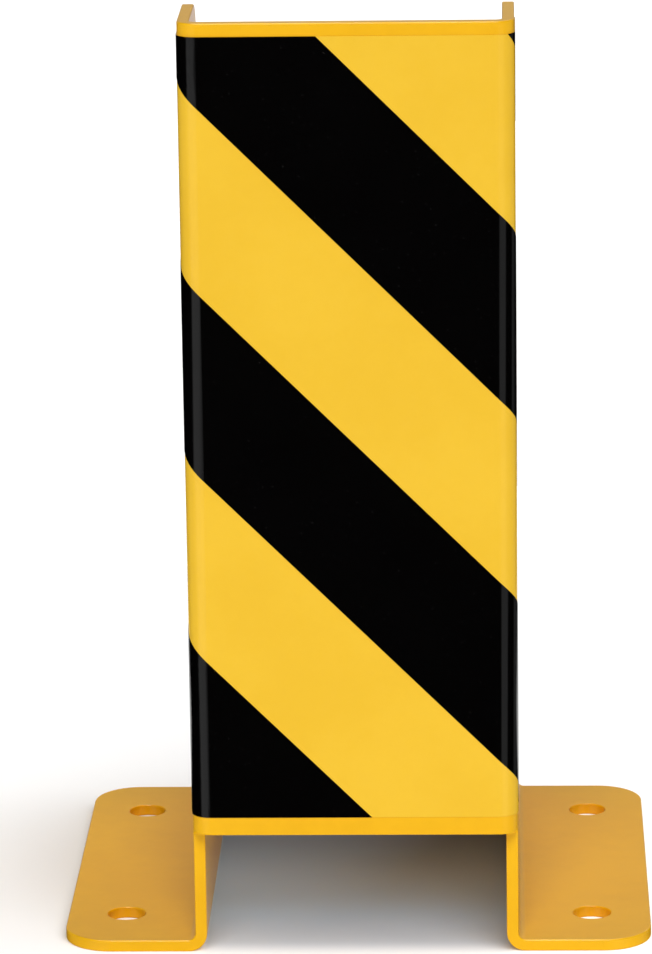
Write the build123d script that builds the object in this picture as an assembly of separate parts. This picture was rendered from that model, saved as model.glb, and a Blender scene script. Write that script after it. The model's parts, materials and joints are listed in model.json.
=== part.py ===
from build123d import *
from math import pi, sqrt
import os

# Rack column guard, folded from one thick steel sheet.
# A front web with a side flange on each edge stands round the foot of a column.
# Below the web the flanges run down as legs, and each leg turns out into a flat foot
# with two anchor holes. A hazard film is stuck round the front, with black bands on it.
# Millimetres, +Z up. The web faces -Y, the column stands on its +Y side.
# Each piece is drawn with the web's front face at Y = 0, and is moved back at the end,
# so that the origin is on the floor in the middle of the guard's footprint.

# ---- folded sheet ----
SHEET = 5.0                  # sheet thickness
BEND_IN = 3.0                # inside radius of every bend
GUARD_HEIGHT = 400.0
GUARD_WIDTH = 137.0          # over the outsides of the two flanges
BASE_WIDTH = 250.0           # over the outer edges of the two feet
FOOT_LENGTH = 210.0          # foot and leg, front to back
FOOT_CORNER = 20.0           # radius of each foot's two outer corners
WEB_GAP = 54.5               # open height under the web
LEG_SETBACK = 0.0            # how far the leg's front edge lies behind the front bend
NOTCH_RADIUS = 3.0           # inside corner where the web's lower edge meets the leg
TOP_DEPTH = 55.0             # flange, front to back, at the top
TOP_CORNER = 15.0            # radius of the flange's top back corner
HEEL_HEIGHT = 30.0           # upright back edge of the leg, from the floor
HEEL_CORNER = 20.0           # radius where that edge turns into the slope
EDGE_ROUND = 0.7             # every cut edge, softened before coating

# ---- anchor holes ----
HOLE_DIAMETER = 16.0
HOLE_INSET_X = 25.0          # hole centre to the foot's outer edge
HOLE_INSET_Y = 35.0          # hole centre to the foot's front or back edge

# ---- hazard film ----
FILM_THICK = 0.25
FILM_BACK_BARE = 10.0        # bare strip behind the film, at the top of the flange
FILM_TOP_BARE = 5.5          # bare strip above the film
FILM_FOOT_BARE = 8.0         # bare strip between the film and the web's lower edge
FILM_CORNER = 5.0            # radius of the film's corners
BAND_THICK = 0.15
BAND_WIDTH = 55.3            # square across a black band; the yellow between is as wide
BAND_CENTRE = 343.5          # height where the band that crosses the web's top is centred
BAND_COUNT = 4               # black bands, counted from the top right corner

# ---- worked out from the above ----
BEND_OUT = BEND_IN + SHEET
HALF_WIDTH = GUARD_WIDTH / 2
LEG_FRONT = BEND_OUT + LEG_SETBACK
LEG_BACK = LEG_FRONT + FOOT_LENGTH
FOOT_MIDDLE = (LEG_FRONT + LEG_BACK) / 2
FOOT_REACH = (BASE_WIDTH - GUARD_WIDTH) / 2
HOLE_SPACING_X = BASE_WIDTH - 2 * HOLE_INSET_X
HOLE_SPACING_Y = FOOT_LENGTH - 2 * HOLE_INSET_Y
FILM_WRAP = TOP_DEPTH - FILM_BACK_BARE
FILM_LOW = WEB_GAP + FILM_FOOT_BARE
FILM_HIGH = GUARD_HEIGHT - FILM_TOP_BARE
BAND_RISE = BAND_WIDTH * sqrt(2)     # height of a 45 degree band, measured upright
FRONT = -(FILM_THICK + BAND_THICK)   # outer face of the bands on the web
CLEAR = 10.0                 # how far a cutter reaches past what it cuts


def channel(outside, inside, depth):
    """The U of web and flanges in plan, between two offsets from the outer face."""
    outer = Rectangle(GUARD_WIDTH + 2 * outside, depth + outside, align=(Align.CENTER, Align.MIN))
    outer = Pos(0, -outside) * outer
    outer = fillet(outer.vertices().group_by(Axis.Y)[0], BEND_OUT + outside)
    inner = Rectangle(GUARD_WIDTH + 2 * inside, depth + inside, align=(Align.CENTER, Align.MIN))
    inner = Pos(0, -inside) * inner
    inner = fillet(inner.vertices().group_by(Axis.Y)[0], BEND_OUT + inside)
    return outer - inner


def side_outline():
    """The guard seen square from its side: the flange, its leg and the notch under the web."""
    points = [
        (-CLEAR, WEB_GAP),
        (-CLEAR, GUARD_HEIGHT),
        (TOP_DEPTH, GUARD_HEIGHT),
        (LEG_BACK, HEEL_HEIGHT),
        (LEG_BACK, 0),
        (LEG_FRONT, 0),
        (LEG_FRONT, WEB_GAP),
    ]
    outline = make_face(Polyline(*points, close=True))
    rounds = {2: TOP_CORNER, 3: HEEL_CORNER, 6: NOTCH_RADIUS}
    for index, radius in rounds.items():
        corner = outline.vertices().sort_by_distance((*points[index], 0))[0]
        outline = fillet(corner, radius)
    return outline


def from_side(face, half_span):
    """Stand a (depth, height) face up in the YZ plane and extrude it both ways along X."""
    return extrude(Plane.YZ * face, half_span, both=True)


def leg_and_foot():
    """The right leg, its outward bend and its foot, as one bent strip."""
    inner_face = HALF_WIDTH - SHEET
    strip = make_face(Polyline(
        (inner_face, BEND_OUT),
        (inner_face, 0),
        (HALF_WIDTH + FOOT_REACH, 0),
        (HALF_WIDTH + FOOT_REACH, SHEET),
        (HALF_WIDTH, SHEET),
        (HALF_WIDTH, BEND_OUT),
        close=True,
    ))
    heel = strip.vertices().sort_by_distance((inner_face, 0, 0))[0]
    strip = fillet(heel, BEND_OUT)
    throat = strip.vertices().sort_by_distance((HALF_WIDTH, SHEET, 0))[0]
    strip = fillet(throat, BEND_IN)
    bent = extrude(Plane.XZ * strip, -LEG_BACK)
    bent -= Box(BASE_WIDTH + CLEAR, LEG_FRONT, GUARD_HEIGHT, align=(Align.CENTER, Align.MIN, Align.MIN))
    corners = bent.edges().filter_by(Axis.Z).filter_by(lambda e: e.center().X > BASE_WIDTH / 2 - 1)
    return fillet(corners, FOOT_CORNER)


def anchor_holes():
    """Cutters for the four anchor holes, on their rectangle."""
    spots = GridLocations(HOLE_SPACING_X, HOLE_SPACING_Y, 2, 2)
    holes = spots * Cylinder(HOLE_DIAMETER / 2, SHEET + 2 * CLEAR)
    return [Pos(0, FOOT_MIDDLE, 0) * hole for hole in holes]


def cut_edges(sheet):
    """Edges where a cut face meets the sheet's surface: the only ones that aren't tangent."""
    faces = sheet.faces()
    chosen = []
    for edge in sheet.edges():
        middle = edge @ 0.5
        normals = [face.normal_at(middle) for face in faces if edge in face.edges()]
        if len(normals) == 2 and normals[0].dot(normals[1]) < 0.5:
            chosen.append(edge)
    return chosen


def folded_guard():
    """The whole sheet: channel, legs and feet, trimmed, drilled and softened at its cut edges."""
    upper = extrude(channel(0, -SHEET, LEG_BACK + CLEAR), GUARD_HEIGHT + CLEAR)
    upper &= from_side(side_outline(), HALF_WIDTH + CLEAR)
    upper -= Box(BASE_WIDTH, 2 * LEG_BACK + CLEAR, 2 * BEND_OUT)
    right = leg_and_foot()
    guard = upper + right + mirror(right, Plane.YZ)
    for hole in anchor_holes():
        guard -= hole
    return fillet(cut_edges(guard), EDGE_ROUND)


def film_outline():
    """The film seen square from the guard's side, with its corners rounded."""
    height = FILM_HIGH - FILM_LOW
    outline = Pos(0, FILM_LOW) * Rectangle(2 * FILM_WRAP, height, align=(Align.CENTER, Align.MIN))
    return fillet(outline.vertices(), FILM_CORNER)


def on_film(skin):
    """Keep only what lies inside the film's outline."""
    return skin & from_side(film_outline(), BASE_WIDTH / 2)


def hazard_film():
    """The yellow film: a thin U against the web, both bends and the front of each flange."""
    skin = extrude(channel(FILM_THICK, 0, LEG_BACK), GUARD_HEIGHT)
    return on_film(skin)


def band_section(foot, outward):
    """An upright slice through a band that lies on the film at foot and faces outward."""
    along = Vector(outward).cross(Vector(0, 0, 1))
    return Plane(foot, x_dir=outward, z_dir=along) * Rectangle(
        BAND_THICK, BAND_RISE, align=(Align.MIN, Align.CENTER))


def straight_band(foot, outward, along, run):
    """A band over a flat stretch, climbing as far as it runs along."""
    climb = Vector(along) + Vector(0, 0, 1)
    return extrude(band_section(foot, outward), run * sqrt(2), dir=climb)


def bend_band():
    """A band round a quarter turn. The climb on the developed sheet is 45 degrees, so a helix."""
    radius = BEND_OUT + FILM_THICK
    route = Helix(2 * pi * radius, pi * radius / 2, radius, lefthand=True)
    return sweep(band_section((radius, 0, 0), (1, 0, 0)), route, is_frenet=True)


def black_band(number):
    """One black band. Its height is where its middle crosses the middle of the web."""
    height = BAND_CENTRE + (1 - number) * 2 * BAND_RISE
    flat = HALF_WIDTH - BEND_OUT
    turn = pi * (BEND_OUT + FILM_THICK) / 2
    side = HALF_WIDTH + FILM_THICK
    wrap = FILM_WRAP + CLEAR - BEND_OUT
    right_foot = (side, BEND_OUT + wrap, height - flat - turn - wrap)
    front_foot = (flat, -FILM_THICK, height - flat)
    left_foot = (-side, BEND_OUT, height + flat + turn)
    band = straight_band(front_foot, (0, -1, 0), (-1, 0, 0), 2 * flat)
    band += Pos(flat, BEND_OUT, height - flat - turn) * bend_band()
    band += Pos(-flat, BEND_OUT, height + flat) * Rot(0, 0, -90) * bend_band()
    band += straight_band(right_foot, (1, 0, 0), (0, -1, 0), wrap)
    band += straight_band(left_foot, (-1, 0, 0), (0, 1, 0), wrap)
    return on_film(band)


parts = {
    "folded_guard": folded_guard(),
    "hazard_film": hazard_film(),
}
for number in range(BAND_COUNT):
    parts[f"black_band_{number + 1}"] = black_band(number)

to_middle = Pos(0, -(FRONT + LEG_BACK) / 2, 0)
os.makedirs("parts", exist_ok=True)
for name, part in parts.items():
    solid = to_middle * part.solid()
    solid.label = name
    export_step(solid, f"parts/{name}.step")
    print(name, round(solid.volume, 1), solid.bounding_box())
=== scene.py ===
# %% [markdown]
# # Dressing a folded steel rack guard
# The object is a knee-high guard that stands in front of a rack upright: one steel sheet, folded into
# a tall channel with two feet, powder coated, and wrapped with yellow film and black hazard bands.
# The construction is already drawn in CAD. This notebook loads it as a fixed frame, puts a studio
# round it and gives each surface its finish. Lengths are metres, and +Z is up.

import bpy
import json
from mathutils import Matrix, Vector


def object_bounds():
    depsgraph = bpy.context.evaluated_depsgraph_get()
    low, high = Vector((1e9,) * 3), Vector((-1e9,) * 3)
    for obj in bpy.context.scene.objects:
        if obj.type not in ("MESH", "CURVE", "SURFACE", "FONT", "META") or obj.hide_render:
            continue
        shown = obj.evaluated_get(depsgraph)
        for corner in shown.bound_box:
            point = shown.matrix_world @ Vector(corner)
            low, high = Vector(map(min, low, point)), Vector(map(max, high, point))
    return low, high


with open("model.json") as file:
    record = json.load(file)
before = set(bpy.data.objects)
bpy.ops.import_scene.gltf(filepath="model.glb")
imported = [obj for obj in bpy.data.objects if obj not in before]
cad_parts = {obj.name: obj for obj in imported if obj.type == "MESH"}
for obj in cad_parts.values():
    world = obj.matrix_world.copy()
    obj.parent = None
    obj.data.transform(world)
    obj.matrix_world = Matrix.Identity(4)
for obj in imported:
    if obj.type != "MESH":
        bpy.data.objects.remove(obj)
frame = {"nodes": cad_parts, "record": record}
cad_low, cad_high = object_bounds()
print("pieces in the frame:", sorted(frame["nodes"]))
print("box of the frame:", [round(v, 4) for v in (*cad_low, *cad_high)])

# %% [markdown]
# ## Tools
# The looks are made with Blender's own Python. Colours are shown as they are, with no film curve on
# top, so a colour given here is the surface's colour in even white light.

# %% Tools
import json
import math

import bmesh
import bpy

scene = bpy.context.scene
scene.view_settings.view_transform = "Standard"

# %% [markdown]
# ## Camera
# A product like this is usually taken with a long lens from a little above, so its upright edges stay
# nearly parallel. The camera stands 2.15 m in front of the guard and 0.78 m up, and looks down at it
# by 15 degrees. It is turned very slightly, so the left flank's back edge shows past the top.

# %% Camera
CAMERA_PLACE = (0.0658, -2.2625, 0.7810)
CAMERA_TURN_DEG = (75.165, 0.786, 1.809)
CAMERA_LENS_MM = 203.84
CAMERA_SEES_TO = 60

camera = bpy.data.objects.new("camera", bpy.data.cameras.new("camera"))
scene.collection.objects.link(camera)
camera.location = CAMERA_PLACE
camera.rotation_euler = [math.radians(a) for a in CAMERA_TURN_DEG]
camera.data.lens = CAMERA_LENS_MM
camera.data.clip_end = CAMERA_SEES_TO
scene.camera = camera
print("camera looks down by", round(90 - CAMERA_TURN_DEG[0], 1), "degrees")

# %% [markdown]
# ## Shader sums as Python
# A finish is mostly arithmetic on masks and noises. Drawn by hand that is a large web of Math nodes,
# so one small class wraps a node's output socket and lets Python's own operators add those nodes.
# Everything else a material needs comes from its `node` method.

# %% The wire class
class Wire:
    """A node's output socket; sums on it add Math nodes to the same node tree."""

    def __init__(self, tree, socket=None):
        self.tree, self.socket = tree, socket

    def node(self, kind, settings=None, sockets=None, output=0):
        """A new node: its settings go first, then its sockets' values or links. Returns one output."""
        made = self.tree.nodes.new(kind)
        for name, value in (settings or {}).items():
            setattr(made, name, value)
        for key, value in (sockets or {}).items():
            if isinstance(value, Wire):
                self.tree.links.new(value.socket, made.inputs[key])
            else:
                made.inputs[key].default_value = value
        return Wire(self.tree, made.outputs[output] if made.outputs else None)

    def sum(self, operation, *values):
        """One Math node on the values, in the order given."""
        return self.node("ShaderNodeMath", {"operation": operation}, dict(enumerate(values)))

    def __add__(self, other):
        return self.sum("ADD", self, other)

    def __sub__(self, other):
        return self.sum("SUBTRACT", self, other)

    def __rsub__(self, other):
        return self.sum("SUBTRACT", other, self)

    def __mul__(self, other):
        return self.sum("MULTIPLY", self, other)

    __radd__, __rmul__ = __add__, __mul__


# %% [markdown]
# ## Nodes that every finish uses
# Four small helpers stand for what comes back in each finish: a soft step, a blend of two colours,
# a distance along a direction, and a noise whose lumps have a size in metres.

# %% Nodes that every finish uses
# Blender's Mix node has its colours at these places among its sockets.
MIX_BELOW, MIX_ABOVE, MIX_RESULT = 6, 7, 2


def rise(value, low, high):
    """0 where value is below low and 1 above high, with a smooth step between."""
    return value.node(
        "ShaderNodeMapRange",
        {"interpolation_type": "SMOOTHSTEP"},
        {"Value": value, "From Min": low, "From Max": high},
    )


def mixed(amount, below, above):
    """The colour below where amount is 0 and the colour above where it is 1."""
    sockets = {0: amount, MIX_BELOW: below, MIX_ABOVE: above}
    return amount.node("ShaderNodeMix", {"data_type": "RGBA"}, sockets, MIX_RESULT)


def along(point, direction):
    """How far the point lies along a direction."""
    return point.node("ShaderNodeVectorMath", {"operation": "DOT_PRODUCT"}, {0: point, 1: direction}, 1)


def noise(point, grain, detail=2.0, roughness=0.5):
    """Noise from 0 to 1 whose lumps are about grain metres across."""
    return point.node(
        "ShaderNodeTexNoise",
        {},
        {"Vector": point, "Scale": 1 / grain, "Detail": detail, "Roughness": roughness},
    )


# %% [markdown]
# ## Soft panels
# One wide soft panel hangs high in front, and lights the web and the feet alike. A weaker one hangs
# behind, so the back and the inside of the channel don't go black. A sun lamp with a wide spread is
# such a panel far away: near and far corners get the same light. Both panels light only the guard,
# because the paper has lamps of its own.

# %% Soft panels
PANEL_POWER = 2.12
PANEL_TURN_DEG = (42, 0, 1)
PANEL_SPREAD_DEG = 26
BACK_POWER = 0.55
BACK_TURN_DEG = (42, 0, 165)
BACK_SPREAD_DEG = 44


def panel(name, power, turn_deg, spread_deg):
    """A soft panel far away: a sun lamp turned from straight down, as wide as spread_deg."""
    lamp = bpy.data.objects.new(name, bpy.data.lights.new(name, "SUN"))
    scene.collection.objects.link(lamp)
    lamp.rotation_euler = [math.radians(a) for a in turn_deg]
    lamp.data.energy = power
    lamp.data.angle = math.radians(spread_deg)
    return lamp


front_panel = panel("front_panel", PANEL_POWER, PANEL_TURN_DEG, PANEL_SPREAD_DEG)
back_panel = panel("back_panel", BACK_POWER, BACK_TURN_DEG, BACK_SPREAD_DEG)
for lamp in (front_panel, back_panel):
    up = 90 - math.degrees(lamp.rotation_euler.x)
    print(lamp.name, round(lamp.data.energy, 2), "at", round(up), "degrees up")

# %% [markdown]
# ## Dim room
# The room round the panels is dim, so the inside of the channel stays darker than the web. It is a
# sky: even in front, and behind the guard a little brighter near the horizon, where the tops of the
# feet mirror it at a low angle.

# %% Dim room
ROOM_FRONT = 0.30
ROOM_LOW = 0.48
ROOM_HIGH = 0.05
LOW_TO_HIGH = (0.22, 0.6)
BACK_TO_FRONT = (0.0, 0.5)

scene.world = bpy.data.worlds.new("studio")
scene.world.use_nodes = True
sky = scene.world.node_tree
sky.nodes.clear()
look = Wire(sky).node("ShaderNodeTexCoord", output="Generated")
lift = along(look, (0, 0, 1))
behind = ROOM_LOW + (ROOM_HIGH - ROOM_LOW) * rise(lift, *LOW_TO_HIGH)
upper = behind + (ROOM_FRONT - behind) * rise(along(look, (0, -1, 0)), *BACK_TO_FRONT)
print("sky nodes so far:", len(sky.nodes))

# %% [markdown]
# ## Lights seen only as reflections
# The glossy bends show upright grey streaks and the rounded cut edges show thin pale lines. In a
# studio these are mirror images of narrow lights. Here the streaks come from strips in the sky below
# the horizon. Only glossy surfaces look there, because the floor hides it from all other rays. The
# pale lines come from a light straight overhead that is left out of the soft light. The camera
# itself sees plain white in every direction, as if a lit backdrop stood behind the guard.

# %% Strips and overhead light
# Each strip: where it starts and ends, in degrees round from the front, and its brightness.
STRIPS = [(-60, -12, 0.78), (18, 58, 0.52), (98, 125, 0.2)]
STRIP_BLUR_DEG = 5
STRIP_BOTTOM = (-0.45, -0.38)
STRIP_TOP = (-0.16, -0.10)
OVERHEAD = 9.0
OVERHEAD_LIFT = 0.88
HORIZON_BLUR = 0.02


def strip(compass, start, end):
    """1 between two compass bearings in degrees, 0 outside them, and soft at both ends."""
    first, last = math.radians(start), math.radians(end)
    blur = math.radians(STRIP_BLUR_DEG)
    return rise(compass, first, first + blur) * (1 - rise(compass, last - blur, last))


compass = look.sum("ARCTAN2", along(look, (1, 0, 0)), along(look, (0, -1, 0)))
strip_height = rise(lift, *STRIP_BOTTOM) * (1 - rise(lift, *STRIP_TOP))
lower = strip_height * sum(bright * strip(compass, start, end) for start, end, bright in STRIPS)
above_ground = rise(lift, -HORIZON_BLUR, HORIZON_BLUR)
room = above_ground * upper + (1 - above_ground) * lower
to_camera = look.node("ShaderNodeLightPath", output="Is Camera Ray")
in_gloss = look.node("ShaderNodeLightPath", output="Is Glossy Ray")
room = room + OVERHEAD * in_gloss * rise(lift, OVERHEAD_LIFT, 1.0)
glow = look.node("ShaderNodeBackground", {}, {"Strength": to_camera + (1 - to_camera) * room})
look.node("ShaderNodeOutputWorld", {}, {"Surface": glow})
print("sky nodes:", len(sky.nodes))

# %% [markdown]
# ## Floor
# White paper, much larger than the guard. Only the middle of it may show in glossy surfaces: the
# paper farther out would lay a grey veil over the black film, so it is left out of reflections, as a
# studio does with black card. Between the legs the paper's colour holds painted shade: a bluish grey
# that darkens the floor there and cancels the orange of light bounced off the yellow steel. The
# painted shade is darkest a little behind the middle of the guard, and fades out towards the open back.

# %% Floor
FLOOR_HALF = 14.0
MIRROR_HALF = 0.35
INSIDE_HALF = 0.0635
PAPER_WHITE = (0.95, 0.95, 0.95, 1)
# Painted shade between the legs: bluish greys laid into the paper's colour where the floor is in shade.
PAINTED_SHADE_FRONT = (0.50, 0.54, 0.59, 1)
PAINTED_SHADE_MIDDLE = (0.53, 0.68, 0.85, 1)
PAINTED_SHADE_DEEP = (0.225, 0.262, 0.31, 1)
PAINTED_SHADE_START = 0.022
PAINTED_SHADE_FADE = 0.05
PAINTED_SHADE_SIDE = 0.005
PAPER_ROUGH = 0.9

paper = bpy.data.materials.new("paper")
paper.use_nodes = True
paper_shader = paper.node_tree.nodes["Principled BSDF"]
paper_shader.inputs["Roughness"].default_value = PAPER_ROUGH
paper_shader.inputs["Specular IOR Level"].default_value = 0.0
spot = Wire(paper.node_tree).node("ShaderNodeTexCoord", output="Object")
deep, wide = along(spot, (0, 1, 0)), spot.sum("ABSOLUTE", along(spot, (1, 0, 0)))
# Where the painted shade lies: from just behind the guard's front to near its open back, between the
# legs.
painted_shade_mask = rise(deep, cad_low.y, cad_low.y + PAINTED_SHADE_START)
painted_shade_mask = painted_shade_mask * (1 - rise(deep, cad_high.y - PAINTED_SHADE_FADE, cad_high.y))
painted_shade_mask = painted_shade_mask * (1 - rise(wide, INSIDE_HALF, INSIDE_HALF + PAINTED_SHADE_SIDE))
# How far back the painted shade's front tone ends, its middle tone starts and ends, and its deep tone
# starts.
front_end, middle_start, middle_end, deep_start = cad_low.y + 0.02, -0.045, -0.02, 0.06
painted_shade_colour = mixed(rise(deep, front_end, middle_start), PAINTED_SHADE_FRONT, PAINTED_SHADE_MIDDLE)
painted_shade_colour = mixed(rise(deep, middle_end, deep_start), painted_shade_colour, PAINTED_SHADE_DEEP)
# The paper's colour: white, with the painted shade mixed in between the legs.
paper_with_painted_shade = mixed(painted_shade_mask, PAPER_WHITE, painted_shade_colour)
paper.node_tree.links.new(paper_with_painted_shade.socket, paper_shader.inputs["Base Color"])


def floor_piece(name, cells):
    """One flat sheet of paper made of rectangles (left, right, front, back), at the guard's foot."""
    sheet = bmesh.new()
    for left, right, front, back in cells:
        corners = [(left, front), (right, front), (right, back), (left, back)]
        sheet.faces.new([sheet.verts.new((x, y, 0)) for x, y in corners])
    mesh = bpy.data.meshes.new(name)
    sheet.to_mesh(mesh)
    sheet.free()
    mesh.materials.append(paper)
    piece = bpy.data.objects.new(name, mesh)
    piece.location.z = cad_low.z
    scene.collection.objects.link(piece)
    return piece


far = FLOOR_HALF
side, inside, front, heel = MIRROR_HALF, INSIDE_HALF, cad_low.y, cad_high.y
floor_shown = floor_piece("floor_shown", [(-inside, inside, front, heel), (-side, side, heel, far)])
floor_round = floor_piece(
    "floor_round",
    [
        (-far, far, -far, front), (-far, -inside, front, heel), (inside, far, front, heel),
        (-far, -side, heel, far), (side, far, heel, far),
    ],
)
floor_round.visible_glossy = False
print("floor pieces:", floor_shown.name, floor_round.name)

# %% [markdown]
# ## The paper's own lamps
# Two broad lamps bring the paper up to white. The stronger one hangs in front. The weaker one hangs
# at the right, and leaves a faint shadow beyond the left foot. Light linking keeps them off the
# guard, and keeps the guard's panels off the paper.

# %% The paper's own lamps
PAPER_LAMP = 3.5
PAPER_LAMP_TURN_DEG = (46, 0, 14)
PAPER_LAMP_SPREAD_DEG = 66
SIDE_LAMP = 1.7
SIDE_LAMP_TURN_DEG = (46, 0, 100)


def only_light(name, pieces, lamps):
    """Makes these lamps light these pieces and nothing else."""
    group = bpy.data.collections.new(name)
    scene.collection.children.link(group)
    for piece in pieces:
        group.objects.link(piece)
    for lamp in lamps:
        lamp.light_linking.receiver_collection = group


paper_lamp = panel("paper_lamp", PAPER_LAMP, PAPER_LAMP_TURN_DEG, PAPER_LAMP_SPREAD_DEG)
side_lamp = panel("side_lamp", SIDE_LAMP, SIDE_LAMP_TURN_DEG, PAPER_LAMP_SPREAD_DEG)
only_light("paper_only", [floor_shown, floor_round], [paper_lamp, side_lamp])
only_light("guard_only", frame["nodes"].values(), [front_panel, back_panel])
print("lamps for the paper:", PAPER_LAMP, "and", SIDE_LAMP)

# %% [markdown]
# ## A start for every finish
# Each finish is a Principled shader. Its even numbers are set on the shader's own sockets, and only
# what changes over the surface is wired in. The surface is read in the object's own coordinates, in
# metres, so a grain has its real size wherever the piece stands.

# %% A finish
def finish(name, even):
    """A new material with a Principled shader, its even numbers set. Returns it, the shader and the
    point on the surface."""
    material = bpy.data.materials.new(name)
    material.use_nodes = True
    shader = material.node_tree.nodes["Principled BSDF"]
    for socket, value in even.items():
        shader.inputs[socket].default_value = value
    point = Wire(material.node_tree).node("ShaderNodeTexCoord", output="Object")
    return material, shader, point


def wire_in(shader, point, **changing):
    """Links what changes over the surface to the shader's sockets, named with _ for a space."""
    for socket, wire in changing.items():
        point.tree.links.new(wire.socket, shader.inputs[socket.replace("_", " ")])


def bumped(height, depth):
    """The surface's normal, raised and lowered by height (0 to 1) times depth metres."""
    return height.node("ShaderNodeBump", {}, {"Strength": 1.0, "Distance": depth, "Height": height})


def dress(material, *names):
    """Puts the material on these pieces of the frame."""
    for name in names:
        slots = frame["nodes"][name].data.materials
        slots.clear()
        slots.append(material)


# %% [markdown]
# ## Powder coat
# The steel is sprayed with orange-yellow powder and baked. The powder melts into a tough glossy skin
# with a faint orange peel of lumps 2 to 3 mm across, and a much finer grain. The skin's thickness
# varies, so the colour drifts a little over a hand's width. Inside the anchor holes the colour is
# darker and deeper: painted shade for the recess. The holes are found from the record's mount, so
# the painted shade sits wherever they are.

# %% Powder coat
POWDER_DEEP = (0.822, 0.426, 0.0006, 1)
POWDER_LIGHT = (0.864, 0.459, 0.0014, 1)
# Painted shade: a darker colour inside the anchor holes and just round their rims.
POWDER_HOLE_SHADE = (0.76, 0.34, 0.0005, 1)
HOLE_SHADE_REACH = 0.0006
DRIFT_GRAIN = 0.07
MOTTLE_GRAIN = 0.009
PEEL_GRAIN = 0.0028
FINE_GRAIN = 0.0006
PEEL_DEPTH = 0.00002
TONE_STEP = (0.36, 0.64)
POWDER_ROUGH = 0.31
ROUGH_SWING = 0.03

powder, powder_shader, spot = finish(
    "powder_coat",
    {"Specular IOR Level": 0.25, "Coat Roughness": 0.07, "Coat Weight": 0.2, "Coat IOR": 1.5},
)
drift = noise(spot, DRIFT_GRAIN, 3.0)
mottle = noise(spot, MOTTLE_GRAIN, 3.0, 0.6)
peel = noise(spot, PEEL_GRAIN, 1.5, 0.4)
grain = noise(spot, FINE_GRAIN, 2.0, 0.5)
tone = rise(0.65 * drift + 0.35 * mottle, *TONE_STEP)
anchors = next(m for m in frame["record"]["mounts"] if m["name"] == "anchor_holes")
dims, (middle_x, middle_y, _) = anchors["dims"], anchors["pos_m"]
hole_radius = dims["hole_r_mm"] / 1000
off_x = spot.sum("ABSOLUTE", along(spot, (1, 0, 0)) - middle_x) - dims["spacing_x_mm"] / 2000
off_y = spot.sum("ABSOLUTE", along(spot, (0, 1, 0)) - middle_y) - dims["spacing_y_mm"] / 2000
from_axis = spot.sum("SQRT", off_x * off_x + off_y * off_y)
# 1 inside the anchor holes, where the painted shade replaces the powder's colour.
painted_hole_shade = 1 - rise(from_axis, hole_radius, hole_radius + HOLE_SHADE_REACH)
powder_colour_with_hole_shade = mixed(painted_hole_shade, mixed(tone, POWDER_DEEP, POWDER_LIGHT), POWDER_HOLE_SHADE)
powder_rough = POWDER_ROUGH + ROUGH_SWING * (mottle - 0.5)
wire_in(
    powder_shader, spot,
    Base_Color=powder_colour_with_hole_shade,
    Roughness=powder_rough,
    Normal=bumped(0.85 * peel + 0.15 * grain, PEEL_DEPTH),
)
dress(powder, "folded_guard")
print("powder coat nodes:", len(powder.node_tree.nodes))

# %% [markdown]
# ## Yellow film
# One piece of self-adhesive vinyl, cut to size and rubbed down round both bends. It is smoother
# than the powder under it and a paler yellow. It never lies quite flat, so its shine wavers over
# about a centimetre, and that wavering is a bump here because it is far too shallow to model.

# %% Yellow film
FILM_YELLOW = (0.86, 0.523, 0.027, 1)
FILM_DEEP = (0.835, 0.498, 0.022, 1)
FILM_ROUGH = 0.20
FILM_DRIFT = 0.05
FILM_MOTTLE = 0.006
FILM_STEP = (0.35, 0.65)
LIE_GRAIN = 0.012
LIE_DEPTH = 0.00003

yellow, yellow_shader, spot = finish("yellow_film", {"Specular IOR Level": 0.5})
drift = noise(spot, FILM_DRIFT, 2.0)
mottle = noise(spot, FILM_MOTTLE, 3.0, 0.6)
lie = noise(spot, LIE_GRAIN, 1.0)
yellow_colour = mixed(rise(0.7 * drift + 0.3 * mottle, *FILM_STEP), FILM_DEEP, FILM_YELLOW)
wire_in(
    yellow_shader, spot,
    Base_Color=yellow_colour,
    Roughness=FILM_ROUGH + ROUGH_SWING * (mottle - 0.5),
    Normal=bumped(lie, LIE_DEPTH),
)
dress(yellow, "hazard_film")
print("yellow film nodes:", len(yellow.node_tree.nodes))

# %% [markdown]
# ## Black film
# The bands are glossy black vinyl, cut at 45 degrees and stuck over the yellow. Black shows what
# colour hides, so it has faint specks of dust, which are paler and duller than the film.

# %% Black film
FILM_BLACK = (0.0008, 0.0006, 0.0006, 1)
FILM_DUST = (0.012, 0.011, 0.011, 1)
BLACK_ROUGH = 0.16
BLACK_SWING = 0.08
BLACK_DRIFT = 0.03
DUST_GRAIN = 0.0011
DUST_STEP = (0.66, 0.80)
DUST_COVER = 0.7
DUST_ROUGH = 0.2

black, black_shader, spot = finish("black_film", {"Specular IOR Level": 0.5})
drift = noise(spot, BLACK_DRIFT, 3.0)
dust = rise(noise(spot, DUST_GRAIN, 2.0, 0.7), *DUST_STEP)
lie = noise(spot, LIE_GRAIN, 1.0)
wire_in(
    black_shader, spot,
    Base_Color=mixed(DUST_COVER * dust, FILM_BLACK, FILM_DUST),
    Roughness=BLACK_ROUGH + BLACK_SWING * (drift - 0.5) + DUST_ROUGH * dust,
    Normal=bumped(lie, LIE_DEPTH),
)
bands = sorted(name for name in frame["nodes"] if name.startswith("black_band"))
dress(black, *bands)
print("black film on:", bands)
